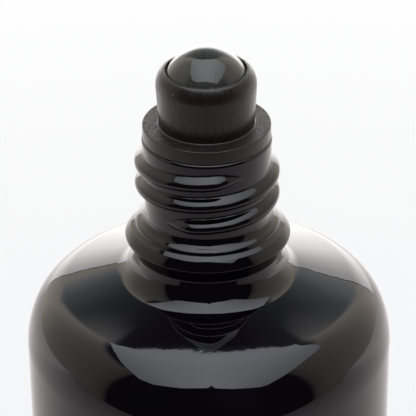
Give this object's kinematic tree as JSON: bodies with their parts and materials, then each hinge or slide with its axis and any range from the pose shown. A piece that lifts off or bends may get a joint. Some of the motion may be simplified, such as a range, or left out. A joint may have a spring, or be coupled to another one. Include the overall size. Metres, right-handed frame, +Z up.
{
  "type": "roll on bottle",
  "caption": "Round dark glass bottle with a sloped shoulder and a screw neck, closed by a pressed-in black roller housing that holds a clear rolling ball.",
  "frame": {"origin": "middle of the ring that the bottle stands on", "axes": "+Z up along the bottle's axis, towards the ball; -Y is the side that the picture shows"},
  "size_m": [0.0472, 0.0472, 0.1238],
  "materials": {
    "violet_glass": "very dark violet glass, fire-polished and glossy",
    "black_plastic": "moulded polypropylene, fine matt",
    "clear_glass": "clear glass, polished"
  },
  "bodies": {
    "bottle": {"glass_bottle": "violet_glass", "roller_housing": "black_plastic"},
    "ball": {"roller_ball": "clear_glass"}
  },
  "joints": [
    {"name": "ball_roll", "type": "hinge", "parent": "bottle", "child": "ball", "pos_m": [0, 0, 0.1182], "axis": [1, 0, 0], "continuous": true}
  ]
}
